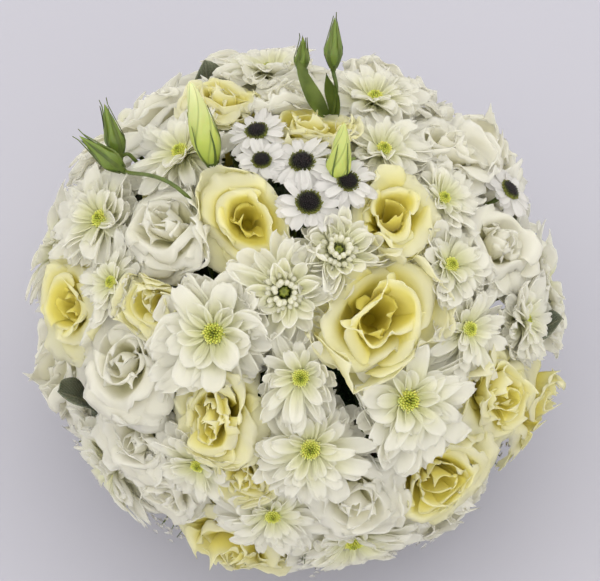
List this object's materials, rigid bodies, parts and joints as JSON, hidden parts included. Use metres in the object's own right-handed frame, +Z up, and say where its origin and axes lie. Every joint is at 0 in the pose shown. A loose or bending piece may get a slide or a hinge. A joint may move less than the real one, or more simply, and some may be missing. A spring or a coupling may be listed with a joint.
{
  "type": "floral table centerpiece",
  "caption": "Round dome of white chrysanthemums, white and pale yellow lisianthus and small dark-eyed daisies, set in floral foam in a low round glazed bowl; decorates a table.",
  "frame": {"origin": "centre of the bowl's flat foot, on the table top", "axes": "+Z up out of the bowl, -Y towards the front of the arrangement (the side the picture was taken from), +X to the right seen from the front"},
  "size_m": [0.3196, 0.3139, 0.3067],
  "materials": {
    "glaze": "smooth glossy white glaze",
    "floral_foam": "soaked phenolic floral foam, dark green, fine open pores",
    "leaf": "matt grey-green leaf with a fine net of pale veins",
    "green_stem": "fresh green stems, calyxes and buds; flower eyes lime yellow or dark",
    "daisy_petal": "matt white petal",
    "mum_petal": "matt white petal, greenish at its foot",
    "white_lisianthus_petal": "soft silky white petal",
    "yellow_lisianthus_petal": "soft silky petal, pale cream yellow with a deeper throat"
  },
  "bodies": {
    "root": {"bowl": "glaze", "daisy_bunch": "daisy_petal", "daisy_side": "daisy_petal", "daisy_stems": "green_stem", "foam": "floral_foam", "green_white_mum_pair": "mum_petal", "leafy_stem_back": "leaf", "leafy_stem_left": "leaf", "leafy_stem_right": "leaf", "mum_stems_back": "green_stem", "mum_stems_front": "green_stem", "mum_stems_left": "green_stem", "mum_stems_right": "green_stem", "mum_stems_top": "green_stem", "white_lisianthus_back_pair": "white_lisianthus_petal", "white_lisianthus_far_left": "white_lisianthus_petal", "white_lisianthus_front": "white_lisianthus_petal", "white_lisianthus_left_group": "white_lisianthus_petal", "white_lisianthus_right": "white_lisianthus_petal", "white_lisianthus_rim_front": "white_lisianthus_petal", "white_lisianthus_rim_left": "white_lisianthus_petal", "white_lisianthus_stems_back": "green_stem", "white_lisianthus_stems_left": "green_stem", "white_lisianthus_top": "white_lisianthus_petal", "white_lisianthus_upper_left": "white_lisianthus_petal", "white_lisianthus_upper_right": "white_lisianthus_petal", "white_mum_back_pair": "mum_petal", "white_mum_front_pair": "mum_petal", "white_mum_left_large": "mum_petal", "white_mum_left_pair": "mum_petal", "white_mum_low_front": "mum_petal", "white_mum_low_left": "mum_petal", "white_mum_outer_right": "mum_petal", "white_mum_right_large_pair": "mum_petal", "white_mum_right_pair": "mum_petal", "white_mum_rim_back_left": "mum_petal", "white_mum_rim_back_pair": "mum_petal", "white_mum_rim_front": "mum_petal", "white_mum_rim_left": "mum_petal", "white_mum_rim_right": "mum_petal", "white_mum_top": "mum_petal", "white_mum_upper_back_pair": "mum_petal", "white_mum_upper_left": "mum_petal", "yellow_lisianthus_behind_daisies": "yellow_lisianthus_petal", "yellow_lisianthus_centre": "yellow_lisianthus_petal", "yellow_lisianthus_deep_front": "yellow_lisianthus_petal", "yellow_lisianthus_large": "yellow_lisianthus_petal", "yellow_lisianthus_left": "yellow_lisianthus_petal", "yellow_lisianthus_low_left": "yellow_lisianthus_petal", "yellow_lisianthus_right_pair": "yellow_lisianthus_petal", "yellow_lisianthus_rim_back": "yellow_lisianthus_petal", "yellow_lisianthus_rim_back_pair": "yellow_lisianthus_petal", "yellow_lisianthus_rim_front": "yellow_lisianthus_petal", "yellow_lisianthus_rim_left": "yellow_lisianthus_petal", "yellow_lisianthus_rim_right": "yellow_lisianthus_petal", "yellow_lisianthus_stems_back": "green_stem", "yellow_lisianthus_stems_left": "green_stem", "yellow_lisianthus_stems_right": "green_stem", "yellow_lisianthus_top_left": "yellow_lisianthus_petal", "yellow_lisianthus_upper_right": "yellow_lisianthus_petal"}
  },
  "joints": []
}
